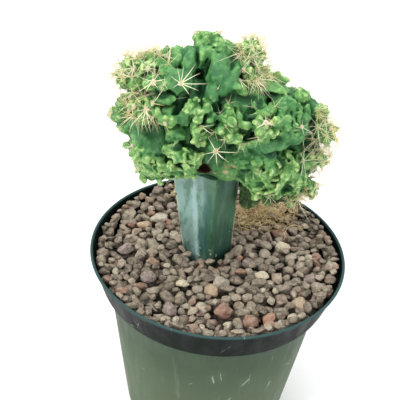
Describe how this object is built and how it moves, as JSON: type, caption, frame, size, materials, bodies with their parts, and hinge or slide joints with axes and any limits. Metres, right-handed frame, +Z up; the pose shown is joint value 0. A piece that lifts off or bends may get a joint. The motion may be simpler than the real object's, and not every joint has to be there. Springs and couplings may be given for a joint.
{
  "type": "potted crested barrel cactus",
  "caption": "Crested barrel cactus grafted on a ribbed blue stem, with woolly areoles and straw spines, in a round gravel-dressed nursery pot.",
  "frame": {"origin": "middle of the pot's underside, on the surface it stands on", "axes": "+Z up through the pot; -Y is the front, which the pictured side faces; +X to the right seen from the front"},
  "size_m": [0.105, 0.105, 0.1804],
  "materials": {
    "pot_plastic": "thin dark green nursery-pot plastic, satin, scuffed on the collar",
    "potting_mix": "damp peat and fine pumice mix",
    "lava_gravel": "crushed taupe and pinkish-grey lava and pumice, dry and rough",
    "stone_rust": "rusty red lava, dry and rough",
    "stone_cream": "pale cream pumice, dry and rough",
    "stone_grey": "grey lava, dry and rough",
    "stone_tan": "tan lava, dry and rough",
    "rootstock_skin": "waxy blue-green cactus skin with a pale bloom",
    "crest_skin": "green cactus skin, blue-green on the old ribs and bright on the young tubercles",
    "spine_straw": "straw-yellow spines on off-white felt",
    "spine_tan": "tan and brown spines on tan felt"
  },
  "bodies": {
    "root": {"crest": "crest_skin", "gravel_bed": "lava_gravel", "pot": "pot_plastic", "rootstock": "rootstock_skin", "spines_back_crown": "spine_straw", "spines_back_hem": "spine_straw", "spines_back_left": "spine_straw", "spines_back_middle": "spine_straw", "spines_back_right": "spine_straw", "spines_centre": "spine_straw", "spines_centre_left": "spine_straw", "spines_crown_front": "spine_straw", "spines_crown_knob_left": "spine_tan", "spines_crown_knob_right": "spine_tan", "spines_crown_rib": "spine_straw", "spines_crown_side": "spine_straw", "spines_front_cream": "spine_straw", "spines_front_star": "spine_straw", "spines_hanging_ball": "spine_tan", "spines_left_hem": "spine_straw", "spines_left_low": "spine_straw", "spines_left_middle": "spine_straw", "spines_left_shoulder": "spine_straw", "spines_left_tip": "spine_straw", "spines_neck_star": "spine_straw", "spines_pale_pad": "spine_straw", "spines_recess": "spine_straw", "spines_right_end": "spine_tan", "spines_right_hem": "spine_straw", "spines_right_lobe": "spine_straw", "spines_right_low": "spine_straw", "spines_right_shoulder": "spine_straw", "spines_under_right": "spine_straw", "spines_upper_left": "spine_straw", "spines_upper_left_rear": "spine_tan", "stone_01": "stone_rust", "stone_02": "stone_cream", "stone_03": "stone_cream", "stone_04": "stone_grey", "stone_05": "stone_rust", "stone_06": "stone_tan", "stone_07": "stone_rust", "stone_08": "stone_cream", "stone_09": "stone_grey", "stone_10": "stone_grey", "stone_11": "stone_tan", "stone_12": "stone_grey", "stone_13": "stone_tan", "stone_14": "stone_grey", "stone_15": "stone_tan", "stone_16": "stone_grey", "stone_17": "stone_grey", "stone_18": "stone_grey", "substrate": "potting_mix"}
  },
  "joints": []
}
